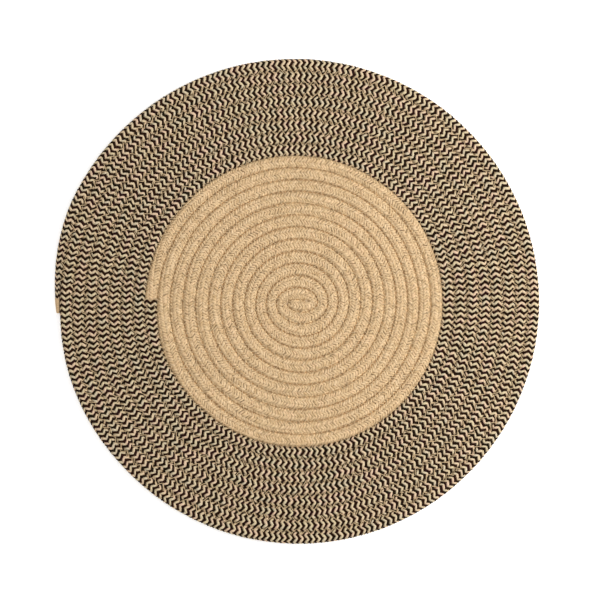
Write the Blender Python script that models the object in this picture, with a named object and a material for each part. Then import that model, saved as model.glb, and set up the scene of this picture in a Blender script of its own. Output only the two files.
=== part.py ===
"""A round placemat of two braided cords, wound flat from the middle in one spiral and sewn turn to turn.

The plain cord fills the middle. The two-tone cord is butted to its end and winds on to the rim.
Units are metres, with +Z up. The mat lies on its flat underside, at z = 0, and the origin is the middle of
its bounding box there. Seen from above the spiral opens counter-clockwise, and the butt joint between the
cords and the outer end both lie towards -X.
"""

import math

import bmesh
import bpy
from mathutils import Vector

# Driving dimensions of the cord, in metres
CORD_PITCH = 0.00951
CORD_HEIGHT = 0.0065
TURN_GAP = 0.0003

# Turns of the winding, counted from the middle: the plain cord, and then the two-tone cord
PLAIN_TURNS = 11.995
TWO_TONE_TURNS = 8.011
ALL_TURNS = PLAIN_TURNS + TWO_TONE_TURNS

# The middle is wound round a short straight start, so the first turns are ovals, longer along X
START_STRETCH = 0.0052
STRETCH_TURNS = 2.8
FOLD_POINT = Vector((0.0070, 0.0016))
FOLD_TURNS = 0.25
FIRST_FULL_TURN = 0.5

# From here to the end of the plain cord the winding wanders off its first centre, and then keeps to the new one
DRIFT_FROM_TURN = 6.0
DRIFT = Vector((-0.0020, -0.0012))

# The joint between the cords pushes every later turn out a little, just past it
BULGE_HEIGHT = 0.0012
BULGE_ANGLE = math.radians(200)
BULGE_SPREAD = math.radians(17)
BULGE_FROM_TURN = 11.3
BULGE_FULL_TURN = 11.6

# Both ends of the winding: how long each taper is, and how narrow and low the cord is there
TIP_TURN = 0.03
TIP_FULL_TURN = 0.15
TIP_HEIGHT_SHARE = 0.7
TAPER_FROM_TURN = ALL_TURNS - 0.076
END_WIDTH_SHARE = 0.26
END_HEIGHT_SHARE = 0.6
TAPER_POWER = 1.6

# How finely the winding is stepped, so that neighbouring turns step at the same angles
# Columns: turn that the stretch runs to, steps in one turn
STEPPING = (
    (4.0, 24),
    (TAPER_FROM_TURN - TAPER_FROM_TURN % (1 / 48), 48),
    (ALL_TURNS, 240),
)
SLOPE_STEP = 1e-4
LEAST_STEP = 1e-3

# Right half of the cord's flattened section, from the foot up.
# Columns: share of the half width, share of the height
HALF_SECTION = (
    (0.56, 0.0),
    (1.0, 0.42),
    (0.81, 0.82),
    (0.34, 1.0),
)

# Finishes: base colour and roughness of the cotton
PLAIN_COLOUR = (0.61, 0.42, 0.23, 1.0)
TWO_TONE_COLOUR = (0.25, 0.18, 0.11, 1.0)
COTTON_ROUGHNESS = 0.9

COLLECTION_NAME = "placemat"


def smooth_step(share):
    """0 below 0, 1 above 1, and an even rise between."""
    share = min(max(share, 0.0), 1.0)
    return share * share * (3 - 2 * share)


def bulge(turn, angle):
    """How far the joint between the cords pushes a groove out at this angle."""
    off_angle = math.remainder(angle - BULGE_ANGLE, 2 * math.pi)
    rise = smooth_step((turn - BULGE_FROM_TURN) / (BULGE_FULL_TURN - BULGE_FROM_TURN))
    return BULGE_HEIGHT * rise * math.exp(-((off_angle / BULGE_SPREAD) ** 2))


def wound_point(turn):
    """The groove after this many turns: a spiral that is an oval at first and drifts a little further out."""
    angle = 2 * math.pi * turn
    radius = CORD_PITCH * turn + bulge(turn, angle)
    stretch = START_STRETCH * math.exp(-((turn / STRETCH_TURNS) ** 2))
    drift = DRIFT * smooth_step((turn - DRIFT_FROM_TURN) / (PLAIN_TURNS - DRIFT_FROM_TURN))
    return Vector(((radius + stretch) * math.cos(angle), radius * math.sin(angle))) + drift


def groove_point(turn):
    """The groove between neighbouring turns, from the fold in the middle, where the cord turns back on itself."""
    if turn < FOLD_TURNS:
        return FOLD_POINT.lerp(wound_point(FOLD_TURNS), turn / FOLD_TURNS)
    return wound_point(turn)


def groove_side(turn, side):
    """One side of the groove: side is 1 for the turn outside it and -1 for the turn inside it."""
    along = groove_point(turn + SLOPE_STEP) - groove_point(max(turn - SLOPE_STEP, 0.0))
    outward = Vector((along.y, -along.x)).normalized()
    return groove_point(turn) + outward * side * TURN_GAP / 2


def cord_edges(turn):
    """The cord's inner and outer edge seen from above, after this many turns of its middle line."""
    if turn < FIRST_FULL_TURN:
        inner = groove_side(FIRST_FULL_TURN - turn, -1)
    else:
        inner = groove_side(turn - FIRST_FULL_TURN, 1)
    outer = groove_side(turn + FIRST_FULL_TURN, -1)
    taper = max(turn - TAPER_FROM_TURN, 0.0) / (ALL_TURNS - TAPER_FROM_TURN)
    width_share = 1 - (1 - END_WIDTH_SHARE) * taper**TAPER_POWER
    return inner, inner.lerp(outer, width_share)


def cord_height(turn):
    """The cord's height: full, but lower at the tip in the middle and at the tapered outer end."""
    tip = smooth_step((turn - TIP_TURN) / (TIP_FULL_TURN - TIP_TURN))
    end = smooth_step((turn - TAPER_FROM_TURN) / (ALL_TURNS - TAPER_FROM_TURN))
    return CORD_HEIGHT * (1 - (1 - TIP_HEIGHT_SHARE) * (1 - tip)) * (1 - (1 - END_HEIGHT_SHARE) * end)


def section_points(turn):
    """The cord's closed section after this many turns, anticlockwise when looked at along the cord."""
    inner, outer = cord_edges(turn)
    middle = (inner + outer) / 2
    half = (outer - inner) / 2
    height = cord_height(turn)
    section = list(HALF_SECTION) + [(-across, up) for across, up in reversed(HALF_SECTION)]
    return [(middle + half * across).to_3d() + Vector((0, 0, height * up)) for across, up in section]


def stations(first, last):
    """The turns at which the cord's section is set, from one end of a cord to the other."""
    inside = []
    start = 0.0
    for stop, steps in STEPPING:
        count = round((stop - start) * steps)
        inside += [start + (stop - start) * step / count for step in range(count)]
        start = stop
    return [first] + [turn for turn in inside if first + LEAST_STEP < turn < last - LEAST_STEP] + [last]


def wound_cord(name, first, last, material, collection):
    """One cord as a closed solid: its sections lofted along the winding, with a flat face on each end."""
    built = bmesh.new()
    rings = [[built.verts.new(point) for point in section_points(turn)] for turn in stations(first, last)]
    for ring, following in zip(rings, rings[1:]):
        for corner in range(len(ring)):
            beside = (corner + 1) % len(ring)
            built.faces.new((ring[corner], ring[beside], following[beside], following[corner]))
    built.faces.new(reversed(rings[0]))
    built.faces.new(rings[-1])
    bmesh.ops.recalc_face_normals(built, faces=built.faces)
    mesh = bpy.data.meshes.new(name)
    built.to_mesh(mesh)
    built.free()
    mesh.shade_smooth()
    mesh.set_sharp_from_angle(angle=math.radians(50))
    mesh.materials.append(material)
    cord = bpy.data.objects.new(name, mesh)
    collection.objects.link(cord)
    return cord


def cotton(name, colour):
    """A matt cotton finish."""
    material = bpy.data.materials.new(name)
    material.use_nodes = True
    shader = material.node_tree.nodes["Principled BSDF"]
    shader.inputs["Base Color"].default_value = colour
    shader.inputs["Roughness"].default_value = COTTON_ROUGHNESS
    shader.inputs["Metallic"].default_value = 0.0
    return material


def centre_on_origin(cords):
    """Moves the cords together, in their meshes, so that the mat's box is centred on the origin seen from above."""
    points = [vertex.co for cord in cords for vertex in cord.data.vertices]
    low = Vector((min(point.x for point in points), min(point.y for point in points), 0))
    high = Vector((max(point.x for point in points), max(point.y for point in points), 0))
    for cord in cords:
        for vertex in cord.data.vertices:
            vertex.co -= (low + high) / 2


def main():
    for obj in list(bpy.data.objects):
        bpy.data.objects.remove(obj)
    collection = bpy.data.collections.new(COLLECTION_NAME)
    bpy.context.scene.collection.children.link(collection)
    joint_gap = TURN_GAP / 2 / (2 * math.pi * CORD_PITCH * PLAIN_TURNS)
    plain = cotton("plain_cotton", PLAIN_COLOUR)
    two_tone = cotton("two_tone_cotton", TWO_TONE_COLOUR)
    centre = wound_cord("centre_cord", TIP_TURN, PLAIN_TURNS - joint_gap, plain, collection)
    rim = wound_cord("rim_cord", PLAIN_TURNS + joint_gap, ALL_TURNS, two_tone, collection)
    centre_on_origin([centre, rim])


main()
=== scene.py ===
"""The looks of a round placemat: two braided cords wound flat in one spiral and sewn turn to turn.

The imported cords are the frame. Each becomes a core under yarn that is laid in a herringbone braid, and sewing
thread crosses every groove in a zigzag. Yarn and thread are drawn flat first, along a cord and round it, and
then wound on to it. Units are metres, with +Z up, and the origin is under the middle of the mat.
"""

import math

import bpy
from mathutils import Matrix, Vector


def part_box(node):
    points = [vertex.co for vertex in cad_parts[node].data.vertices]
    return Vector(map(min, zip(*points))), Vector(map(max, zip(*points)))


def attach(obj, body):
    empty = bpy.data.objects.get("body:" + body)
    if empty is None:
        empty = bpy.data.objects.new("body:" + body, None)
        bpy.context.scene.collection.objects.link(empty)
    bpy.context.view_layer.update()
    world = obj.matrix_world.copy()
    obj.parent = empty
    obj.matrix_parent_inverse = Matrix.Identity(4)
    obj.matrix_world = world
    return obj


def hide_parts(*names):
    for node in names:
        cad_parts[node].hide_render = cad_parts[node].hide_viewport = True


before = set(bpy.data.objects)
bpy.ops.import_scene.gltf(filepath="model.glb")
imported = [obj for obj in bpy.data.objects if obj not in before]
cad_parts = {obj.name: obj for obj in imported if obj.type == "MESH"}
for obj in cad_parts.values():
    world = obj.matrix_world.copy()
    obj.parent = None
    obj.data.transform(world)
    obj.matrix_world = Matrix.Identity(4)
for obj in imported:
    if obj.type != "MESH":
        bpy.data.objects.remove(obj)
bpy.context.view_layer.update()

bl_info = {
    "name": "Braided placemat",
    "version": (1, 0, 0),
    "blender": (4, 5, 0),
    "location": "3D View > Sidebar > Placemat",
    "description": "Makes the yarn, the sewing thread and the studio of a round braided placemat",
    "category": "Object",
}

# The cord as the solids have it
CORD_PITCH = 0.00951
CORD_HEIGHT = 0.0065
TURN_GAP = 0.0003

# Turns of the winding, counted from the middle: the plain cord, and then the two-tone cord
PLAIN_TURNS = 11.995
TWO_TONE_TURNS = 8.011
ALL_TURNS = PLAIN_TURNS + TWO_TONE_TURNS

# The short straight start, which makes the first turns ovals
START_STRETCH = 0.0052
STRETCH_TURNS = 2.8
FOLD_POINT = Vector((0.0070, 0.0016))
FOLD_TURNS = 0.25
FIRST_FULL_TURN = 0.5

# The winding's drift off its first centre
DRIFT_FROM_TURN = 6.0
DRIFT = Vector((-0.0020, -0.0012))

# The rise in the turns outside the joint between the cords
BULGE_HEIGHT = 0.0012
BULGE_ANGLE = math.radians(200)
BULGE_SPREAD = math.radians(17)
BULGE_FROM_TURN = 11.3
BULGE_FULL_TURN = 11.6

# Both ends of the winding: how long each taper is, and how narrow and low the cord is there
TIP_TURN = 0.03
TIP_FULL_TURN = 0.15
TIP_HEIGHT_SHARE = 0.7
TAPER_FROM_TURN = ALL_TURNS - 0.076
END_WIDTH_SHARE = 0.26
END_HEIGHT_SHARE = 0.6
TAPER_POWER = 1.6

# Steps along the winding in one turn, and the step in turns that a slope is taken over
TURN_STEPS = 120
SLOPE_STEP = 1e-4

# The cord's section: how far neighbours press into each other, half its width, the height of its widest line
# as a share of the cord's, and the powers that its sides, top and foot are rounded by, where 1 is an ellipse
SQUEEZE = 0.0001
HALF_WIDTH = CORD_PITCH / 2 + SQUEEZE
WIDEST_SHARE = 0.62
ACROSS_POWER = 0.95
TOP_POWER = 1.0
FOOT_POWER = 0.75
SECTION_POINTS = 96
CORE_SIDES = 20

# How far each cord's end is rounded off, in how many steps, how full it is at its very end, and how far from
# the end the even steps start, in lengths of the rounding
ROUNDED_END = 0.0009
END_STEPS = 6
LEAST_FULLNESS = 0.02
CLEAR_OF_END = 1.5

# The turns that each cord runs from and to: the two overlap a little at their joint
JOINT_OVERLAP = 0.0006
PLAIN_RUN = (TIP_TURN / 2, PLAIN_TURNS + JOINT_OVERLAP)
TWO_TONE_RUN = (PLAIN_TURNS - JOINT_OVERLAP, ALL_TURNS)

# Each cord as a flat sheet: its size across and its area
PLAIN_ACROSS = 0.228
PLAIN_AREA = 0.0408
TWO_TONE_ACROSS = 0.380
TWO_TONE_AREA = 0.0726

# Where the last turn starts, whose outer side no neighbour hides, the turns that the change takes, and a
# length in metres that no cord reaches
OPEN_FROM_TURN = ALL_TURNS - 1.0
OPEN_STEP = 0.01
NEVER_OPEN = 1000.0

# A float of yarn: how much fuller than a ball it is near its ends, and how far they dive under the next
FULLER_ENDS = 0.63
END_DIVE = 0.3

# The lean of the floats, and what an unevenness of 1 does to a float: its shift in rows, lean and size
LEAN = math.radians(37)
UNEVEN_SHIFT = 0.25
UNEVEN_LEAN = 0.35
UNEVEN_SIZE = 0.6

# The plain cord's yarn beside the two-tone cord's: its thickness, its unevenness, how far it is rolled round
# the cord, and the shift in rows of the braid that its core shows
PLAIN_HEIGHT_SHARE = 0.75
PLAIN_UNEVEN_SHARE = 1.4
PLAIN_ROLL = -0.0009
PLAIN_ROW_SHIFT = 0.25

# Which floats are kept, by their height on the cord, and how far the dark upper ones run under the next
# column, so that they show as one line
ANY_HEIGHT = 1.0
UPPER_SIDE = {"Lowest": 0.55 * CORD_HEIGHT, "Highest": ANY_HEIGHT, "Sides": 4, "Rings": 4}
UNDERSIDE = {"Lowest": -ANY_HEIGHT, "Highest": 0.12 * CORD_HEIGHT, "Sides": 4, "Rings": 3}
DARK_OVERLAP = 0.8

# The sewing: the turns of the groove that it runs over, how its strays change from stitch to stitch, and how
# far apart in the noise the strays along and across the groove are read
SEWN_FROM_TURN = 0.02
SEWN_TO_TURN = ALL_TURNS - 0.52
STRAY_SCALE = 0.8
STRAY_SHIFTS = (0.0, 50.0)
SEWING_SEED = 3

# Columns: piece, heights of the thread in the groove, on the shoulders and at the holes, steps, sides
SEWING = (
    ("sewing_thread", 0.0053, 0.0061, 0.0057, 4, 4),
    ("sewing_thread_underside", 0.0009, 0.00028, 0.0006, 2, 4),
)

# The outer end's whipping: the turns of its guide, how fine that is, the thread's spacing and thickness as
# shares of the sewing thread's, its depth as a share of its own, and the steps and sides of one wrap
WHIPPED_TURNS = 0.05
WHIPPED_STEPS = 2000
WRAP_SPACING = 0.95
WRAP_DIAMETER = 1.15
WRAP_SUNK = 0.4
WRAP_STEPS = 20
WRAP_SIDES = 5

# The stage: the floor's half width and drop, the key light's place and size, and the camera's shift and film
FLOOR_REACH = 20
FLOOR_DROP = 0.0002
KEY_ANGLE = math.radians(11)
KEY_AWAY = 0.9
KEY_UP = 0.86
KEY_SIZE = 0.62
CAMERA_SHIFT = (0.00236, 0.0010)
FILM_WIDTH = 36.0


def smooth_step(share):
    """0 below 0, 1 above 1, and an even rise between."""
    share = min(max(share, 0.0), 1.0)
    return share * share * (3 - 2 * share)


def bulge(turn, angle):
    """How far the joint between the cords pushes a groove out at this angle."""
    off_angle = math.remainder(angle - BULGE_ANGLE, 2 * math.pi)
    rise = smooth_step((turn - BULGE_FROM_TURN) / (BULGE_FULL_TURN - BULGE_FROM_TURN))
    return BULGE_HEIGHT * rise * math.exp(-((off_angle / BULGE_SPREAD) ** 2))


def wound_point(turn):
    """The groove after this many turns: a spiral that is an oval at first and drifts a little further out."""
    angle = 2 * math.pi * turn
    radius = CORD_PITCH * turn + bulge(turn, angle)
    stretch = START_STRETCH * math.exp(-((turn / STRETCH_TURNS) ** 2))
    drift = DRIFT * smooth_step((turn - DRIFT_FROM_TURN) / (PLAIN_TURNS - DRIFT_FROM_TURN))
    return Vector(((radius + stretch) * math.cos(angle), radius * math.sin(angle))) + drift


def groove_point(turn):
    """The groove between turns, from the fold in the middle, where the cord turns back on itself."""
    if turn < FOLD_TURNS:
        return FOLD_POINT.lerp(wound_point(FOLD_TURNS), turn / FOLD_TURNS)
    return wound_point(turn)


def groove_outward(turn):
    """The direction out of the winding, square to the groove."""
    along = groove_point(turn + SLOPE_STEP) - groove_point(max(turn - SLOPE_STEP, 0.0))
    return Vector((along.y, -along.x)).normalized()


def groove_side(turn, side):
    """One side of the groove: side is 1 for the turn outside it and -1 for the turn inside it."""
    return groove_point(turn) + groove_outward(turn) * side * TURN_GAP / 2


def cord_edges(turn):
    """The cord's inner and outer edge seen from above, after this many turns of its middle line."""
    if turn < FIRST_FULL_TURN:
        inner = groove_side(FIRST_FULL_TURN - turn, -1)
    else:
        inner = groove_side(turn - FIRST_FULL_TURN, 1)
    outer = groove_side(turn + FIRST_FULL_TURN, -1)
    taper = max(turn - TAPER_FROM_TURN, 0.0) / (ALL_TURNS - TAPER_FROM_TURN)
    width_share = 1 - (1 - END_WIDTH_SHARE) * taper**TAPER_POWER
    return inner, inner.lerp(outer, width_share)


def cord_height(turn):
    """The cord's height: full, but lower at the tip in the middle and at the tapered outer end."""
    tip = smooth_step((turn - TIP_TURN) / (TIP_FULL_TURN - TIP_TURN))
    end = smooth_step((turn - TAPER_FROM_TURN) / (ALL_TURNS - TAPER_FROM_TURN))
    return CORD_HEIGHT * (1 - (1 - TIP_HEIGHT_SHARE) * (1 - tip)) * (1 - (1 - END_HEIGHT_SHARE) * end)


def winding_shift():
    """From the winding's own centre to the origin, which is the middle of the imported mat's box."""
    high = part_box("rim_cord")[1]
    right = groove_side(round(ALL_TURNS), -1).x
    top = groove_side(round(ALL_TURNS) + 0.25, -1).y
    return Vector((high.x - right, high.y - top))


SHIFT = winding_shift()


class Wire:
    """A socket of a node tree, with Python's operators for its maths. Wire(tree) alone starts a tree."""

    def __init__(self, tree, socket=None):
        self.tree = tree
        self.socket = socket

    def node(self, kind, settings=None, values=None, output=0):
        """Adds a node: its settings, then its sockets' values or links. Returns one of its outputs."""
        made = self.tree.nodes.new(kind)
        for name, value in (settings or {}).items():
            if name == "stops":
                ramp = made.color_ramp.elements
                ramp.remove(ramp[1])
                ramp[0].position = value[0][0]
                ramp[0].color = (*value[0][1], 1.0)
                for place, colour in value[1:]:
                    ramp.new(place).color = (*colour, 1.0)
            else:
                setattr(made, name, value)
        for name, value in (values or {}).items():
            if isinstance(value, Wire):
                self.tree.links.new(value.socket, made.inputs[name])
            else:
                made.inputs[name].default_value = value
        return Wire(self.tree, made.outputs[output] if made.outputs else None)

    def out(self, name):
        """Another output of the same node."""
        return Wire(self.tree, self.socket.node.outputs[name])

    def math(self, operation, *others):
        """One Math node on this value and any others."""
        values = dict(enumerate((self, *others)))
        return self.node("ShaderNodeMath", {"operation": operation}, values)

    def vector_math(self, operation, *others):
        """One Vector Math node on this vector and any others."""
        values = dict(enumerate((self, *others)))
        return self.node("ShaderNodeVectorMath", {"operation": operation}, values)

    def __add__(self, other):
        return self.math("ADD", other)

    __radd__ = __add__

    def __sub__(self, other):
        return self.math("SUBTRACT", other)

    def __rsub__(self, other):
        return self.node("ShaderNodeMath", {"operation": "SUBTRACT"}, {0: other, 1: self})

    def __mul__(self, other):
        return self.math("MULTIPLY", other)

    __rmul__ = __mul__

    def __truediv__(self, other):
        return self.math("DIVIDE", other)

    def __rtruediv__(self, other):
        return self.node("ShaderNodeMath", {"operation": "DIVIDE"}, {0: other, 1: self})

    def __mod__(self, other):
        return self.math("MODULO", other)

    def __pow__(self, other):
        return self.math("POWER", other)

    def __abs__(self):
        return self.math("ABSOLUTE")

    def __neg__(self):
        return self.math("MULTIPLY", -1.0)

    def __gt__(self, other):
        return self.math("GREATER_THAN", other)

    def __lt__(self, other):
        return self.math("LESS_THAN", other)

    def parts(self):
        """The three numbers of a vector."""
        first = self.node("ShaderNodeSeparateXYZ", values={0: self})
        return first, first.out(1), first.out(2)

    def vector(self, x, y, z):
        """A vector from three numbers."""
        return self.node("ShaderNodeCombineXYZ", values={0: x, 1: y, 2: z})

    def mixed(self, other, share):
        """This colour mixed with another."""
        return self.node("ShaderNodeMix", {"data_type": "RGBA"}, {0: share, 6: self, 7: other}, 2)

    def ramp(self, stops):
        """A colour ramp read at this value."""
        return self.node("ShaderNodeValToRGB", {"stops": stops}, {"Fac": self})

    def noise(self, dimensions, **values):
        """Noise over W in 1D, or over Vector in 3D."""
        return self.node("ShaderNodeTexNoise", {"noise_dimensions": dimensions}, values)

    def moved(self, position):
        """This geometry with its points at these positions."""
        return self.node("GeometryNodeSetPosition", values={"Geometry": self, "Position": position})

    def random(self, low, high, seed):
        """A number between low and high that is its own for each point."""
        index = self.node("GeometryNodeInputIndex")
        values = {2: low, 3: high, "ID": index, "Seed": seed}
        return self.node("FunctionNodeRandomValue", {"data_type": "FLOAT"}, values, 1)

    def attribute(self, name, kind="FLOAT"):
        """A named attribute of the geometry."""
        return self.node("GeometryNodeInputNamedAttribute", {"data_type": kind}, {"Name": name})


def new_tree(name, sockets):
    """A Geometry Nodes tree with named inputs. Returns it, a first wire, its inputs and its guide's curve."""
    tree = bpy.data.node_groups.new(name, "GeometryNodeTree")
    tree.interface.new_socket("Geometry", in_out="INPUT", socket_type="NodeSocketGeometry")
    for kind, labels in sockets.items():
        for label in labels:
            tree.interface.new_socket(label, in_out="INPUT", socket_type="NodeSocket" + kind)
    tree.interface.new_socket("Geometry", in_out="OUTPUT", socket_type="NodeSocketGeometry")
    start = Wire(tree)
    given = start.node("NodeGroupInput")
    return tree, start, given, start.node("GeometryNodeMeshToCurve", values={"Mesh": given.out("Geometry")})


def end_tree(geometry, material):
    """Ends a tree as the export needs: instances made real, and the material set."""
    real = geometry.node("GeometryNodeRealizeInstances", values={"Geometry": geometry})
    smooth = real.node("GeometryNodeSetShadeSmooth", values={0: real})
    painted = smooth.node("GeometryNodeSetMaterial", values={"Geometry": smooth, "Material": material})
    painted.node("NodeGroupOutput", values={"Geometry": painted})


def grown(name, guide, tree, values):
    """Runs a tree on a guide and keeps what it makes as a plain mesh that rides on the mat."""
    helper = bpy.data.objects.new(name + "_guide", guide)
    bpy.context.scene.collection.objects.link(helper)
    modifier = helper.modifiers.new(name, "NODES")
    modifier.node_group = tree
    for item in tree.interface.items_tree:
        if item.in_out == "INPUT" and item.name in values:
            modifier[item.identifier] = values[item.name]
    bpy.context.view_layer.update()
    evaluated = helper.evaluated_get(bpy.context.evaluated_depsgraph_get())
    mesh = bpy.data.meshes.new_from_object(evaluated)
    mesh.name = name
    bpy.data.objects.remove(helper)
    piece = bpy.data.objects.new(name, mesh)
    bpy.context.scene.collection.objects.link(piece)
    if not mesh.polygons:
        raise RuntimeError(f"{name} came out empty")
    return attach(piece, "root")


def guide_mesh(name, places, frames, fullness, opened):
    """A line of points with what the trees read there: frame, fullness, and how open the outer side is."""
    mesh = bpy.data.meshes.new(name)
    links = [(place, place + 1) for place in range(len(places) - 1)]
    mesh.from_pydata([(*(place + SHIFT), 0.0) for place in places], links, [])
    numbers = [part for frame_there in frames for part in frame_there]
    mesh.attributes.new("frame", "FLOAT_VECTOR", "POINT").data.foreach_set("vector", numbers)
    mesh.attributes.new("fullness", "FLOAT", "POINT").data.foreach_set("value", fullness)
    mesh.attributes.new("opened", "FLOAT", "POINT").data.foreach_set("value", opened)
    return mesh


def cord_guide(name, first, last, steps=TURN_STEPS):
    """The middle line of a cord from end to end, with its width, height and rounded ends."""
    turn_length = 2 * math.pi * CORD_PITCH
    first_step = ROUNDED_END / (turn_length * max(first, FIRST_FULL_TURN))
    last_step = ROUNDED_END / (turn_length * last)
    shares = [(1 - math.cos(math.pi / 2 * step / END_STEPS)) for step in range(END_STEPS + 1)]
    count = round((last - first) * steps)
    inner_turns = [first + (last - first) * step / count for step in range(1, count)]
    turns = [first + first_step * share for share in shares]
    lowest, highest = first + CLEAR_OF_END * first_step, last - CLEAR_OF_END * last_step
    turns += [turn for turn in inner_turns if lowest < turn < highest]
    turns += [last - last_step * share for share in reversed(shares)]
    fullness = [1.0] * len(turns)
    for step, share in enumerate(shares):
        fullness[step] = fullness[-1 - step] = max(math.sqrt(1 - (1 - share) ** 2), LEAST_FULLNESS)
    places, frames = [], []
    for turn in turns:
        inner, outer = cord_edges(turn)
        places.append((inner + outer) / 2)
        half = (outer - inner) / 2 / (CORD_PITCH / 2 - TURN_GAP / 2)
        frames.append((half.x, half.y, cord_height(turn) / CORD_HEIGHT))
    opened = [smooth_step((turn - OPEN_FROM_TURN) / OPEN_STEP) for turn in turns]
    return guide_mesh(name, places, frames, fullness, opened)


def groove_guide(name, first, last):
    """The groove between neighbouring turns."""
    count = round((last - first) * TURN_STEPS)
    turns = [first + (last - first) * step / count for step in range(count + 1)]
    frames = [(*groove_outward(turn), 1.0) for turn in turns]
    level = [1.0] * len(turns)
    return guide_mesh(name, [groove_point(turn) for turn in turns], frames, level, level)


def section_points():
    """The cord's rounded section, from its outer side over the top to its inner side and under its foot."""
    points = []
    for step in range(SECTION_POINTS):
        angle = 2 * math.pi * step / SECTION_POINTS
        across, up = math.cos(angle), math.sin(angle)
        x = HALF_WIDTH * math.copysign(abs(across) ** ACROSS_POWER, across)
        if up > 0:
            z = WIDEST_SHARE + (1 - WIDEST_SHARE) * up**TOP_POWER
        else:
            z = WIDEST_SHARE - WIDEST_SHARE * abs(up) ** FOOT_POWER
        points.append((x, z * CORD_HEIGHT))
    return points


def section_curve():
    """The section as a closed curve, whose X is across the cord and Y is up."""
    curve = bpy.data.curves.new("cord_section", "CURVE")
    curve.dimensions = "3D"
    points = section_points()
    spline = curve.splines.new("POLY")
    spline.points.add(len(points) - 1)
    for place, (x, z) in zip(spline.points, points):
        place.co = (x, z, 0.0, 1.0)
    spline.use_cyclic_u = True
    section = bpy.data.objects.new("cord_section", curve)
    bpy.context.scene.collection.objects.link(section)
    section.hide_render = True
    return section


def girth():
    """The length round the section."""
    points = section_points()
    return sum(math.dist(point, following) for point, following in zip(points, points[1:] + points[:1]))


GIRTH = girth()


def laid(wire, place, frame_share, full, rim, slope, out):
    """A point on a cord: from its middle line out to the section's rim, and a little further out."""
    out_x, out_y, height = frame_share.parts()
    rim_x, rim_z, _ = rim.parts()
    slope_x, slope_z, _ = slope.parts()
    middle = CORD_HEIGHT * WIDEST_SHARE
    across = (rim_x + slope_z * out) * full
    up = (rim_z - slope_x * out - middle) * full + middle
    return place.vector_math("ADD", wire.vector(out_x * across, out_y * across, height * up))


def round_section(wire, section, around):
    """The section's rim this far round it, and the slope there."""
    values = {"Curves": section, "Factor": (around / GIRTH).math("FRACT")}
    sampled = wire.node("GeometryNodeSampleCurve", {"mode": "FACTOR", "data_type": "FLOAT"}, values)
    return sampled.out("Position"), sampled.out("Tangent")


def along_guide(wire, guide, along):
    """The guide this far along it: its place, the frame there, and how full the cord is."""
    sampled = []
    for name, kind in (("frame", "FLOAT_VECTOR"), ("fullness", "FLOAT")):
        settings = {"mode": "LENGTH", "data_type": kind}
        values = {"Curves": guide, "Value": wire.attribute(name, kind), "Length": along}
        sampled.append(wire.node("GeometryNodeSampleCurve", settings, values))
    return sampled[0].out("Position"), *sampled


def stored(geometry, name, value, kind="FLOAT"):
    """The geometry with a named value kept on each of its points."""
    settings = {"data_type": kind, "domain": "POINT"}
    values = {"Geometry": geometry, "Name": name, "Value": value}
    return geometry.node("GeometryNodeStoreNamedAttribute", settings, values)


def section_of(start, given):
    """The geometry of the section object."""
    return start.node("GeometryNodeObjectInfo", values={"Object": given.out("Section")}).out("Geometry")


CORE_SOCKETS = {
    "Object": ("Section",),
    "Float": ("Inset", "Side Reach"),
    "Int": ("Sides",),
    "Material": ("Material",),
}


def core_tree():
    """A smooth core along a cord, its section drawn round the guide and then laid on the cord's own frame."""
    tree, start, given, guide = new_tree("Cord core", CORE_SOCKETS)
    guide = stored(guide, "place", start.node("GeometryNodeInputPosition"), "FLOAT_VECTOR")
    guide = stored(guide, "along", start.node("GeometryNodeSplineParameter").out("Length"))
    values = {"Curve": section_of(start, given), "Count": given.out("Sides")}
    section = start.node("GeometryNodeResampleCurve", values=values)
    section = stored(section, "around", start.node("GeometryNodeSplineParameter").out("Length"))
    section = stored(section, "rim", start.node("GeometryNodeInputPosition"), "FLOAT_VECTOR")
    section = stored(section, "slope", start.node("GeometryNodeInputTangent"), "FLOAT_VECTOR")
    values = {"Curve": guide, "Profile Curve": section, "Fill Caps": True}
    core = start.node("GeometryNodeCurveToMesh", values=values)
    vectors = [start.attribute(name, "FLOAT_VECTOR") for name in ("place", "frame", "rim", "slope")]
    place, frame_share, rim, slope = vectors
    full = start.attribute("fullness")
    flat, steep, _ = slope.parts()
    outer_side = start.attribute("opened") * (rim.parts()[0] > 0)
    reach = given.out("Side Reach") * steep * steep * (1 - outer_side)
    out = reach - given.out("Inset") * abs(flat).math("MAXIMUM", outer_side)
    core = core.moved(laid(start, place, frame_share, full, rim, slope, out))
    end_tree(core, given.out("Material"))
    return tree


def one_float(start, given):
    """One short float of yarn, a unit wide, long and high, whose ends dive under the next column."""
    values = {"Segments": given.out("Sides"), "Rings": given.out("Rings"), "Radius": 1.0}
    ball = start.node("GeometryNodeMeshUVSphere", values=values)
    side, up, along = start.node("GeometryNodeInputPosition").parts()
    ball = stored(ball, "strand", start.vector(side, along, up), "FLOAT_VECTOR")
    fuller = 1 + FULLER_ENDS * along * along
    dive = END_DIVE * along * along * along * along
    return ball.moved(start.vector(side * fuller * 0.5, along * 0.5, up * fuller * 0.5 - dive))


BRAID_SOCKETS = {
    "Object": ("Section",),
    "Float": (
        *("Row Spacing", "First Row", "Columns", "Slant", "Lean Out", "Lean In"),
        *("Yarn Width", "Yarn Height", "Overlap", "Sunk", "Unevenness", "Roll"),
        *("Wander", "Wander Length", "Lowest", "Highest", "Open From"),
    ),
    "Int": ("Sides", "Rings", "Seed"),
    "Material": ("Material",),
}


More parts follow.
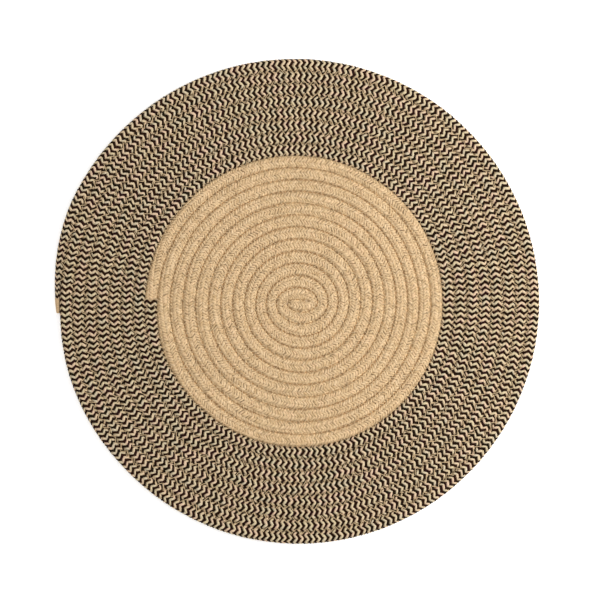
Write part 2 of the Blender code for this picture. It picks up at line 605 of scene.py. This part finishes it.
def braid_tree():
    """Lays a float of yarn at each crossing of a braid, leaning one way and then the other round the cord."""
    tree, start, given, guide = new_tree("Braided yarn", BRAID_SOCKETS)
    section = section_of(start, given)
    length = start.node("GeometryNodeCurveLength", values={"Curve": guide})
    columns = given.out("Columns")
    spacing = given.out("Row Spacing")
    seed = given.out("Seed")
    uneven = given.out("Unevenness")

    # Each point's row and column, and where they put it on the flat braid
    rows = (length / spacing).math("CEIL") + 2
    points = start.node("GeometryNodePoints", values={"Count": rows * columns})
    index = start.node("GeometryNodeInputIndex")
    row = ((index + 0.5) / columns).math("FLOOR")
    column = index - row * columns
    column_width = GIRTH / columns
    straight = (row + given.out("First Row")) * spacing
    noise = start.noise("1D", W=straight / given.out("Wander Length"), Scale=1.0, Detail=1.0)
    around = (column + 0.5) * column_width + given.out("Roll") + (noise - 0.5) * given.out("Wander")
    shift = start.random(-UNEVEN_SHIFT, UNEVEN_SHIFT, seed) * uneven * spacing
    along = straight + column * given.out("Slant") + shift

    # Floats that the next turn hides are left out, except on the last turn's outer side
    rim, _ = round_section(start, section, around)
    rim_x, rim_z, _ = rim.parts()
    out_of_reach = (rim_z < given.out("Lowest")) + (rim_z > given.out("Highest"))
    open_side = (along > given.out("Open From")) * (rim_x > 0) * (given.out("Highest") > CORD_HEIGHT)
    hidden = out_of_reach * (1 - open_side) + (along < 0) + (along > length)

    # The float's lean, by its column, and its size
    leans_in = column % 2 > 0.5
    lean = given.out("Lean Out") * (1 - leans_in) - given.out("Lean In") * leans_in
    angle = -lean + start.random(-UNEVEN_LEAN, UNEVEN_LEAN, seed + 1) * uneven
    reach = column_width / lean.math("COSINE") * (1 + given.out("Overlap"))
    width = given.out("Yarn Width") * (1 + start.random(-UNEVEN_SIZE, UNEVEN_SIZE, seed + 2) * uneven)
    high = given.out("Yarn Height") * (1 + start.random(-UNEVEN_SIZE, UNEVEN_SIZE, seed + 3) * uneven)
    depth = -0.5 * given.out("Yarn Height") - given.out("Sunk")
    points = points.moved(start.vector(along, around, depth))
    points = stored(points, "shade", start.random(0.0, 1.0, seed + 4))
    values = {
        "Points": points,
        "Selection": 1 - hidden,
        "Instance": one_float(start, given),
        "Rotation": start.vector(0.0, 0.0, angle),
        "Scale": start.vector(width, reach, high),
    }
    braid = start.node("GeometryNodeInstanceOnPoints", values=values)
    braid = start.node("GeometryNodeRealizeInstances", values={"Geometry": braid})

    # The flat braid wound on to the cord
    flat_along, flat_around, flat_out = start.node("GeometryNodeInputPosition").parts()
    place, frame_share, full = along_guide(start, guide, flat_along)
    rim, slope = round_section(start, section, flat_around)
    braid = braid.moved(laid(start, place, frame_share, full, rim, slope, flat_out))
    end_tree(braid, given.out("Material"))
    return tree


def thread_through(start, given, count, position):
    """Ends a tree with a thread through this many points, each where its index puts it."""
    settings = {"mode": "OFFSET", "count_mode": "TOTAL"}
    values = {"Count": count, "Start Location": (0.0, 0.0, 0.0), "Offset": (0.001, 0.0, 0.0)}
    line = start.node("GeometryNodeMeshLine", settings, values).moved(position)
    line = start.node("GeometryNodeMeshToCurve", values={"Mesh": line})
    values = {"Resolution": given.out("Sides"), "Radius": given.out("Diameter") / 2}
    profile = start.node("GeometryNodeCurvePrimitiveCircle", {"mode": "RADIUS"}, values)
    values = {"Curve": line, "Profile Curve": profile, "Fill Caps": True}
    end_tree(start.node("GeometryNodeCurveToMesh", values=values), given.out("Material"))


THREAD_SOCKETS = {
    "Float": (
        *("Stitch", "Zigzag Width", "Diameter", "Stray"),
        *("Groove Height", "Shoulder Height", "Hole Height"),
    ),
    "Int": ("Steps", "Sides", "Seed"),
    "Material": ("Material",),
}


def thread_tree():
    """Sews a zigzag along a groove: from needle hole to needle hole, over the shoulders of both turns."""
    tree, start, given, guide = new_tree("Zigzag thread", THREAD_SOCKETS)
    length = start.node("GeometryNodeCurveLength", values={"Curve": guide})
    stitch, steps = given.out("Stitch"), given.out("Steps")
    count = (length / stitch).math("FLOOR") * steps + 1
    sewn = start.node("GeometryNodeInputIndex") / steps
    swing = abs((sewn / 2).math("FRACT") * 2 - 1) * 2 - 1
    aside = abs(swing)
    low = given.out("Groove Height") * (1 - aside) * (1 - 2 * aside)
    shoulder = given.out("Shoulder Height") * 4 * aside * (1 - aside)
    hole = given.out("Hole Height") * aside * (2 * aside - 1)
    strays = []
    for shift in STRAY_SHIFTS:
        noise = start.noise("1D", W=sewn + given.out("Seed") + shift, Scale=STRAY_SCALE, Detail=0.0)
        strays.append((noise - 0.5) * given.out("Stray"))
    place, frame_share, _ = along_guide(start, guide, sewn * stitch + strays[0])
    out_x, out_y, _ = frame_share.parts()
    across = swing * given.out("Zigzag Width") / 2 + strays[1]
    offset = start.vector(out_x * across, out_y * across, low + shoulder + hole)
    thread_through(start, given, count, place.vector_math("ADD", offset))
    return tree


WHIPPING_SOCKETS = {
    "Object": ("Section",),
    "Float": ("Spacing", "Diameter", "Length"),
    "Int": ("Steps", "Sides"),
    "Material": ("Material",),
}


def whipping_tree():
    """Winds a thread round and round a cord, one wrap beside the next."""
    tree, start, given, guide = new_tree("Whipping", WHIPPING_SOCKETS)
    length = start.node("GeometryNodeCurveLength", values={"Curve": guide})
    steps = given.out("Steps")
    count = (given.out("Length") / given.out("Spacing")).math("FLOOR") * steps + 1
    wraps = start.node("GeometryNodeInputIndex") / steps
    along = length - given.out("Length") + wraps * given.out("Spacing")
    rim, slope = round_section(start, section_of(start, given), wraps * GIRTH)
    place, frame_share, full = along_guide(start, guide, along)
    position = laid(start, place, frame_share, full, rim, slope, given.out("Diameter") * -WRAP_SUNK)
    thread_through(start, given, count, position)
    return tree


def new_material(name, roughness, specular=0.25):
    """A matt cotton material. Returns it, its first wire and its shader."""
    material = bpy.data.materials.new(name)
    material.use_nodes = True
    shader = material.node_tree.nodes["Principled BSDF"]
    shader.inputs["Roughness"].default_value = roughness
    shader.inputs["Specular IOR Level"].default_value = specular
    return material, Wire(material.node_tree), shader


def finish_material(wire, shader, colour, height, relief):
    """Links a colour to the shader, and a height to its normal, as a relief of so many metres."""
    values = {"Height": height, "Distance": relief, "Strength": 1.0}
    bump = wire.node("ShaderNodeBump", values=values)
    wire.tree.links.new(colour.socket, shader.inputs["Base Color"])
    wire.tree.links.new(bump.socket, shader.inputs["Normal"])


def in_grooves(wire, colour, coordinates, groove_shade):
    """A yarn's colour in the grooves, painted: lighter all along them as painted light, with dark spots of
    painted shade where cords part.
    """
    _, _, high = coordinates.parts()
    band = (high / CORD_HEIGHT).ramp(GROOVE_BAND).parts()[0]
    patches = wire.noise("3D", Vector=coordinates, Scale=SPOT_SCALE, Detail=1.0)
    spots = wire.node("ShaderNodeMapRange", {"clamp": True}, {0: patches, 1: SPOTS_FROM, 2: SPOTS_FULL})
    lit = colour.mixed((*PAINTED_GROOVE_LIGHT, 1.0), band * LIT_SHARE)
    return lit.mixed((*PAINTED_GROOVE_SHADE, 1.0), band * spots * groove_shade)


def yarn(name, tints, contrast, mottling=0.12, specular=0.25, groove_shade=0.0):
    """Cotton yarn of a few plies: each float has its own tint, and fibres run along it.

    Contrast is how dark the lines between plies (painted shade) and fibres are, and mottling how blotchy the
    yarn is. The last argument is how much of the grooves' dark spots of painted shade it shows; where it is not
    0, the grooves are also lightened with painted light.
    """
    material, wire, shader = new_material(name, 0.9, specular)
    strand = wire.node("ShaderNodeAttribute", {"attribute_name": "strand"}).out("Vector")
    shade = wire.node("ShaderNodeAttribute", {"attribute_name": "shade"}).out("Fac")
    side, along, _ = strand.parts()
    twisted = side * PLIES * 0.5 + along * PLY_TWIST
    ply = abs((twisted + shade * PLY_SPREAD).math("FRACT") * 2 - 1)
    fibres = wire.vector(side * FIBRES_ACROSS + along, along * FIBRES_ALONG, shade * FIBRE_SPREAD)
    fibre = wire.noise("3D", Vector=fibres, Scale=FIBRE_SCALE, Detail=3.0)
    tint = shade.ramp(tints)
    coordinates = wire.node("ShaderNodeTexCoord").out("Object")
    mottle = wire.noise("3D", Vector=coordinates, Scale=MOTTLE_SCALE, Detail=2.0)
    # Painted shade: the dark lines between the plies mix the tint towards a darker, browner copy of it, as
    # shade in the crevices, and every float takes a little of that copy; the fibre streaks and the mottle are
    # the yarn's own tone, drawn with the same mix
    shaded = tint.vector_math("MULTIPLY", IN_THE_SHADE)
    lines = (ply ** 3) * contrast + (fibre - 0.5) * FIBRE_CONTRAST * contrast
    depth = lines + (mottle - 0.5) * 2 * mottling
    colour = tint.mixed(shaded, depth * SHADE_DEPTH + SHADE_LEAST)
    # Painted light and painted shade in the plain cord's grooves
    if groove_shade:
        colour = in_grooves(wire, colour, coordinates, groove_shade)
    height = (1 - ply * ply) * PLY_RELIEF + fibre * FIBRE_RELIEF
    finish_material(wire, shader, colour, height, YARN_RELIEF)
    return material


def fine_fibre(wire, detail):
    """Fine fibre noise over a piece."""
    coordinates = wire.node("ShaderNodeTexCoord").out("Object")
    return wire.noise("3D", Vector=coordinates, Scale=FINE_FIBRE_SCALE, Detail=detail)


def thread_material(name, colour):
    """Sewing thread: fine, lightly glossy, with small changes of shade along it."""
    material, wire, shader = new_material(name, 0.75)
    fibre = fine_fibre(wire, 2.0)
    dark = tuple(part * THREAD_SHADE for part in colour)
    finish_material(wire, shader, fibre.ramp([(0.3, dark), (0.7, colour)]), fibre, THREAD_RELIEF)
    return material


def core_material(name, braid, roll, row_shift, stops):
    """The yarn in the pits between the floats and lower down: the same braid, drawn on the core, in tints that
    hold painted shade.
    """
    material, wire, shader = new_material(name, 0.95)
    along = wire.node("ShaderNodeAttribute", {"attribute_name": "along"}).out("Fac")
    around = wire.node("ShaderNodeAttribute", {"attribute_name": "around"}).out("Fac")
    column_width = GIRTH / braid.columns
    wander = wire.noise("1D", W=along / braid.wander_length, Scale=1.0, Detail=1.0) - 0.5
    columns = (around - roll - wander * braid.wander) / column_width + braid.columns
    leans_in = columns.math("FLOOR") % 2 > 0.5
    slope = math.tan(braid.lean_out) - leans_in * (math.tan(braid.lean_out) + math.tan(braid.lean_in))
    rows = (along - slope * (columns.math("FRACT") - 0.5) * column_width) / braid.repeat + row_shift
    off_row = abs(rows.math("FRACT") - 0.5) * 2
    fibre = fine_fibre(wire, 3.0)
    tinted = (off_row + (fibre - 0.5) * ROW_FUZZ).ramp(stops)
    height = abs(off_row * 2 - 1) ** 0.5 + fibre * CORE_FIBRE_RELIEF
    finish_material(wire, shader, tinted, height, CORE_RELIEF)
    return material


def srgb(red, green, blue):
    """A colour as the shaders take it, from its display values of 0 to 255."""
    parts = (part / 255 for part in (red, green, blue))
    return tuple(part / 12.92 if part <= 0.04045 else ((part + 0.055) / 1.055) ** 2.4 for part in parts)


# Yarn: its plies over a float, their twist, and how far apart in them two floats may start
PLIES = 3
PLY_TWIST = 0.6
PLY_SPREAD = 7

# Fibres on a float, and the mottling over the whole piece, as the noises draw them
FIBRES_ACROSS = 6
FIBRES_ALONG = 1.2
FIBRE_SPREAD = 40
FIBRE_SCALE = 2.6
FIBRE_CONTRAST = 1.1
MOTTLE_SCALE = 450.0
FINE_FIBRE_SCALE = 900.0

# Painted shade of the yarn: what its tint is multiplied by in the painted shade, and how much of that its lines
# and its rest take; and what the thread's tint is multiplied by at its darkest fibres, which is the thread's
# own tone
IN_THE_SHADE = (0.35, 0.25, 0.10)
SHADE_DEPTH = 1.35
SHADE_LEAST = 0.06
THREAD_SHADE = 0.72

# Relief: the shares of plies and fibres, and the heights in metres
PLY_RELIEF = 0.8
FIBRE_RELIEF = 0.45
CORE_FIBRE_RELIEF = 0.4
YARN_RELIEF = 0.00022
THREAD_RELIEF = 0.00012
CORE_RELIEF = 0.0006

# How much the fibres blur the rows that are drawn on a core
ROW_FUZZ = 0.25

# The plain cord's grooves: the painted light that lightens them, the painted shade of their dark spots, and the
# heights that have both
PAINTED_GROOVE_LIGHT = srgb(250, 221, 172)
LIT_SHARE = 0.6
PAINTED_GROOVE_SHADE = srgb(112, 78, 42)
SPOT_SCALE = 330.0
SPOTS_FROM = 0.5
SPOTS_FULL = 0.6
GROOVE_BAND = (
    (0.4, (0.0, 0.0, 0.0)),
    (0.5, (1.0, 1.0, 1.0)),
    (0.78, (1.0, 1.0, 1.0)),
    (0.9, (0.0, 0.0, 0.0)),
)

# Tints of the floats, and of a core from the middle of a row to its edge
PLAIN_TINTS = (
    (0.0, srgb(233, 199, 157)),
    (0.35, srgb(226, 195, 151)),
    (0.7, srgb(231, 201, 160)),
    (1.0, srgb(219, 186, 141)),
)
LIGHT_TINTS = (
    (0.0, srgb(233, 201, 171)),
    (0.3, srgb(229, 204, 170)),
    (0.65, srgb(224, 205, 166)),
    (1.0, srgb(219, 203, 174)),
)
DARK_TINTS = (
    (0.0, srgb(46, 19, 19)),
    (0.35, srgb(46, 23, 6)),
    (0.7, srgb(34, 17, 5)),
    (1.0, srgb(31, 24, 8)),
)
# Painted shade: the plain core's darker tint at 0.5 falls where one float meets the next, as shade in the gap
# between them
PLAIN_CORE_TINTS = (
    (0.0, srgb(222, 188, 144)),
    (0.3, srgb(222, 188, 144)),
    (0.5, srgb(192, 157, 112)),
    (0.7, srgb(222, 188, 144)),
    (1.0, srgb(222, 188, 144)),
)
# Painted shade: the two-tone core's dark rows are the dark yarn's own colour, but its light rows are a darker
# copy of the light yarn, as shade where the core shows between and below the floats
TWO_TONE_CORE_TINTS = (
    (0.0, srgb(40, 24, 12)),
    (0.45, srgb(40, 24, 12)),
    (0.6, srgb(176, 150, 114)),
    (1.0, srgb(190, 165, 130)),
)
THREAD_TINT = srgb(234, 204, 160)
WHIPPING_TINT = srgb(222, 190, 148)


def number(name, description, default, **kind):
    """A number among the settings, with its unit or subtype where it has one."""
    return bpy.props.FloatProperty(name=name, description=description, default=default, **kind)


def metres(name, description, default):
    """A length in metres among the settings."""
    return number(name, description, default, unit="LENGTH")


def whole(name, description, default, **kind):
    """A whole number among the settings."""
    return bpy.props.IntProperty(name=name, description=description, default=default, **kind)


def picked_colour(name, description, default):
    """A colour among the settings."""
    given = {"name": name, "description": description, "default": default}
    return bpy.props.FloatVectorProperty(**given, size=3, subtype="COLOR")


class BraidSettings(bpy.types.PropertyGroup):
    """The braid that both cords are made of."""

    repeat: metres("Repeat", "From one dark row to the next along the cord", 0.00447)
    columns: whole("Columns", "Columns of floats round the cord", 8, min=4)
    lean_out: number("Lean out", "Lean of every other column", LEAN, subtype="ANGLE")
    lean_in: number("Lean in", "Lean of the columns between them", LEAN, subtype="ANGLE")
    light_width: metres("Light yarn width", "Width of a light float", 0.0024)
    dark_width: metres("Dark yarn width", "Width of a dark float", 0.0023)
    plain_width: metres("Plain yarn width", "Width of a float of the plain cord", 0.0026)
    yarn_height: metres("Yarn height", "Thickness of a float", 0.0012)
    dark_sunk: metres("Dark yarn sunk", "How much lower the dark floats lie", 0.00006)
    overlap: number("Overlap", "How far a float runs under the next column", 0.3, subtype="FACTOR")
    uneven: number("Unevenness", "How much the floats differ", 0.36, subtype="FACTOR")
    roll: metres("Roll", "Where the first column starts round the cord", 0.0020)
    wander: metres("Wander", "How far the columns wander round the cord", 0.013)
    wander_length: metres("Wander length", "Over what length they wander", 0.12)
    core_inset: metres("Core inset", "How far the core lies under the top", 0.00075)
    side_reach: metres("Side reach", "How far the core stands out at the cord's sides", 0.00014)
    seed: whole("Seed", "Seed of the unevenness", 7)


class ThreadSettings(bpy.types.PropertyGroup):
    """The sewing thread."""

    stitch: metres("Stitch", "From one needle hole to the next along the groove", 0.0038)
    zigzag: metres("Zigzag width", "Across the groove from hole to hole", 0.0048)
    diameter: metres("Diameter", "Thickness of the thread", 0.00052)
    stray: metres("Stray", "How far the stitches stray from an even zigzag", 0.0016)
    tint: picked_colour("Colour", "Colour of the thread", THREAD_TINT)
    whipping: metres("Whipped end", "Length of the outer end that thread is wound round", 0.0115)


class StageSettings(bpy.types.PropertyGroup):
    """The studio."""

    floor: picked_colour("Floor", "Colour of the floor", (0.9, 0.9, 0.9))
    glow: number("Floor glow", "Light of the floor itself", 0.5)
    distance: metres("Camera distance", "Height of the camera over the mat", 3.50)
    framed: metres("Framed width", "Width that the picture takes in", 0.4707)
    key: number("Key light", "Strength of the light from the right", 12.8)
    fill: number("Fill light", "Strength of the sky light", 0.66)


def settings_of(context):
    """The placemat's settings in the scene."""
    return context.scene.placemat_braid, context.scene.placemat_thread, context.scene.placemat_stage


def braid_values(braid, material, **others):
    """What a braid tree is given, from the settings."""
    values = {
        "Section": section_object(),
        "Columns": float(braid.columns),
        "Lean Out": braid.lean_out,
        "Lean In": braid.lean_in,
        "Slant": GIRTH / braid.columns * (math.tan(braid.lean_out) - math.tan(braid.lean_in)) / 2,
        "Yarn Height": braid.yarn_height,
        "Overlap": braid.overlap,
        "Unevenness": braid.uneven,
        "Roll": braid.roll,
        "Wander": braid.wander,
        "Wander Length": braid.wander_length,
        "Open From": NEVER_OPEN,
        "Seed": braid.seed,
        "Material": material,
    }
    return values | others


def section_object():
    """The section that the trees read, made once."""
    return bpy.data.objects.get("cord_section") or section_curve()


class PLACEMAT_OT_plain_yarn(bpy.types.Operator):
    """Braid the plain cord of the middle."""

    bl_idname = "placemat.plain_yarn"
    bl_label = "Plain yarn"

    def execute(self, context):
        braid, _, _ = settings_of(context)
        guide = cord_guide("plain_guide", *PLAIN_RUN)
        material = yarn("plain_cotton_yarn", PLAIN_TINTS, contrast=0.2, mottling=0.42, groove_shade=0.6)
        tree = braid_tree()
        common = {
            "Row Spacing": braid.repeat / 2,
            "First Row": 0.5,
            "Yarn Width": braid.plain_width,
            "Yarn Height": braid.yarn_height * PLAIN_HEIGHT_SHARE,
            "Unevenness": braid.uneven * PLAIN_UNEVEN_SHARE,
            "Roll": braid.roll + PLAIN_ROLL,
        }
        for name, side in (("plain_yarn", UPPER_SIDE), ("plain_yarn_underside", UNDERSIDE)):
            piece = grown(name, guide, tree, braid_values(braid, material, **common, **side))
        return {"FINISHED"}


class PLACEMAT_OT_two_tone_yarn(bpy.types.Operator):
    """Braid the two-tone cord of the rim from light and dark yarn in turn."""

    bl_idname = "placemat.two_tone_yarn"
    bl_label = "Two-tone yarn"

    def execute(self, context):
        braid, _, _ = settings_of(context)
        guide = cord_guide("two_tone_guide", *TWO_TONE_RUN)
        tree = braid_tree()
        light = yarn("light_cotton_yarn", LIGHT_TINTS, contrast=0.22)
        dark = yarn("dark_cotton_yarn", DARK_TINTS, contrast=0.35, specular=0.1)
        kinds = (
            ("light_yarn", light, 1.0, braid.light_width, 0.0, braid.overlap),
            ("dark_yarn", dark, 0.5, braid.dark_width, braid.dark_sunk, DARK_OVERLAP),
        )
        two_tone_length = math.pi * CORD_PITCH * (ALL_TURNS**2 - PLAIN_TURNS**2)
        last_turn_length = 2 * math.pi * CORD_PITCH * ALL_TURNS
        for name, material, first_row, width, sunk, upper_overlap in kinds:
            common = {
                "Row Spacing": braid.repeat,
                "First Row": first_row,
                "Yarn Width": width,
                "Sunk": sunk,
                "Open From": two_tone_length - last_turn_length,
            }
            sides = (("", UPPER_SIDE | {"Overlap": upper_overlap}), ("_underside", UNDERSIDE))
            for suffix, side in sides:
                values = braid_values(braid, material, **common, **side)
                piece = grown(name + suffix, guide, tree, values)
        return {"FINISHED"}


class PLACEMAT_OT_sewing_thread(bpy.types.Operator):
    """Sew every groove with a zigzag, on the upper side and the underside."""

    bl_idname = "placemat.sewing_thread"
    bl_label = "Sewing thread"

    def execute(self, context):
        _, thread, _ = settings_of(context)
        guide = groove_guide("groove_guide", SEWN_FROM_TURN, SEWN_TO_TURN)
        tree = thread_tree()
        material = thread_material("sewing_thread_cotton", thread.tint)
        for name, groove, shoulder, hole, steps, sides in SEWING:
            values = {
                "Stitch": thread.stitch,
                "Zigzag Width": thread.zigzag,
                "Diameter": thread.diameter,
                "Groove Height": groove,
                "Shoulder Height": shoulder,
                "Hole Height": hole,
                "Stray": thread.stray,
                "Steps": steps,
                "Sides": sides,
                "Seed": SEWING_SEED,
                "Material": material,
            }
            grown(name, guide, tree, values)
        return {"FINISHED"}


class PLACEMAT_OT_outer_end(bpy.types.Operator):
    """Whip the outer end of the two-tone cord with thread."""

    bl_idname = "placemat.outer_end"
    bl_label = "Outer end"

    def execute(self, context):
        _, thread, _ = settings_of(context)
        guide = cord_guide("end_guide", ALL_TURNS - WHIPPED_TURNS, ALL_TURNS, WHIPPED_STEPS)
        material = thread_material("whipping_cotton", WHIPPING_TINT)
        values = {
            "Section": section_object(),
            "Spacing": thread.diameter * WRAP_SPACING,
            "Diameter": thread.diameter * WRAP_DIAMETER,
            "Length": thread.whipping,
            "Steps": WRAP_STEPS,
            "Sides": WRAP_SIDES,
            "Material": material,
        }
        piece = grown("outer_end_whipping", guide, whipping_tree(), values)
        return {"FINISHED"}


class PLACEMAT_OT_cores(bpy.types.Operator):
    """Make the core of each cord, which stands for its solid, and hide the solid."""

    bl_idname = "placemat.cores"
    bl_label = "Cord cores"

    def execute(self, context):
        braid, _, _ = settings_of(context)
        tree = core_tree()
        plain_roll = braid.roll + PLAIN_ROLL
        plain = core_material("plain_core_cotton", braid, plain_roll, PLAIN_ROW_SHIFT, PLAIN_CORE_TINTS)
        two_tone = core_material("two_tone_core_cotton", braid, braid.roll, 0.0, TWO_TONE_CORE_TINTS)
        plain_flat = (PLAIN_ACROSS, PLAIN_AREA)
        two_tone_flat = (TWO_TONE_ACROSS, TWO_TONE_AREA)
        cores = (
            ("plain_core", "centre_cord", PLAIN_RUN, plain, "plain_cotton", plain_flat),
            ("two_tone_core", "rim_cord", TWO_TONE_RUN, two_tone, "two_tone_cotton", two_tone_flat),
        )
        for name, node, run, material, slot, (across, area) in cores:
            guide = cord_guide(name + "_guide", *run)
            values = {
                "Section": section_object(),
                "Sides": CORE_SIDES,
                "Inset": braid.core_inset,
                "Side Reach": braid.side_reach,
                "Material": material,
            }
            core = grown(name, guide, tree, values)
            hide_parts(node)
        return {"FINISHED"}


def area_light(name, place, size, power):
    """A soft square light at a place, facing the mat."""
    light = bpy.data.lights.new(name, "AREA")
    light.shape = "SQUARE"
    light.size = size
    light.energy = power
    lamp = bpy.data.objects.new(name, light)
    bpy.context.scene.collection.objects.link(lamp)
    lamp.location = place
    lamp.rotation_euler = Vector(place).to_track_quat("Z", "Y").to_euler()


class PLACEMAT_OT_stage(bpy.types.Operator):
    """Set the mat on a plain pale floor in soft light, with the camera straight above."""

    bl_idname = "placemat.stage"
    bl_label = "Stage"

    def execute(self, context):
        _, _, stage = settings_of(context)
        scene = context.scene
        mesh = bpy.data.meshes.new("floor")
        corners = [(x * FLOOR_REACH, y * FLOOR_REACH, 0) for x, y in ((-1, -1), (1, -1), (1, 1), (-1, 1))]
        mesh.from_pydata(corners, [], [(0, 1, 2, 3)])
        floor = bpy.data.objects.new("floor", mesh)
        scene.collection.objects.link(floor)
        floor.location.z = -FLOOR_DROP
        material, _, shader = new_material("floor_paper", 0.9)
        shader.inputs["Base Color"].default_value = (*stage.floor, 1.0)
        shader.inputs["Emission Color"].default_value = (1.0, 1.0, 1.0, 1.0)
        shader.inputs["Emission Strength"].default_value = stage.glow
        mesh.materials.append(material)
        place = (KEY_AWAY * math.cos(KEY_ANGLE), KEY_AWAY * math.sin(KEY_ANGLE), KEY_UP)
        area_light("key_light", place, KEY_SIZE, stage.key)
        world = bpy.data.worlds.new("studio")
        scene.world = world
        world.use_nodes = True
        sky = world.node_tree.nodes["Background"]
        sky.inputs["Color"].default_value = (1.0, 1.0, 1.0, 1.0)
        sky.inputs["Strength"].default_value = stage.fill
        lens = bpy.data.cameras.new("camera")
        lens.sensor_width = FILM_WIDTH
        lens.lens = FILM_WIDTH / 2 * stage.distance / (stage.framed / 2)
        camera = bpy.data.objects.new("camera", lens)
        scene.collection.objects.link(camera)
        camera.location = (*CAMERA_SHIFT, stage.distance)
        scene.camera = camera
        scene.view_settings.view_transform = "Standard"
        return {"FINISHED"}


class PLACEMAT_PT_panel(bpy.types.Panel):
    """The placemat's pieces in the sidebar."""

    bl_idname = "PLACEMAT_PT_panel"
    bl_label = "Placemat"
    bl_space_type = "VIEW_3D"
    bl_region_type = "UI"
    bl_category = "Placemat"

    def draw(self, context):
        for operator in OPERATORS:
            self.layout.operator(operator.bl_idname)


OPERATORS = (
    PLACEMAT_OT_stage,
    PLACEMAT_OT_plain_yarn,
    PLACEMAT_OT_two_tone_yarn,
    PLACEMAT_OT_sewing_thread,
    PLACEMAT_OT_outer_end,
    PLACEMAT_OT_cores,
)
SETTINGS = {
    "placemat_braid": BraidSettings,
    "placemat_thread": ThreadSettings,
    "placemat_stage": StageSettings,
}
CLASSES = (*SETTINGS.values(), *OPERATORS, PLACEMAT_PT_panel)


def register():
    for cls in CLASSES:
        bpy.utils.register_class(cls)
    for name, kind in SETTINGS.items():
        setattr(bpy.types.Scene, name, bpy.props.PointerProperty(type=kind))


def unregister():
    for name in SETTINGS:
        delattr(bpy.types.Scene, name)
    for cls in reversed(CLASSES):
        bpy.utils.unregister_class(cls)


def main():
    register()
    bpy.ops.placemat.stage()
    bpy.ops.placemat.plain_yarn()
    bpy.ops.placemat.two_tone_yarn()
    bpy.ops.placemat.sewing_thread()
    bpy.ops.placemat.outer_end()
    bpy.ops.placemat.cores()
    bpy.data.objects.remove(section_object())


if __name__ == "__main__":
    main()
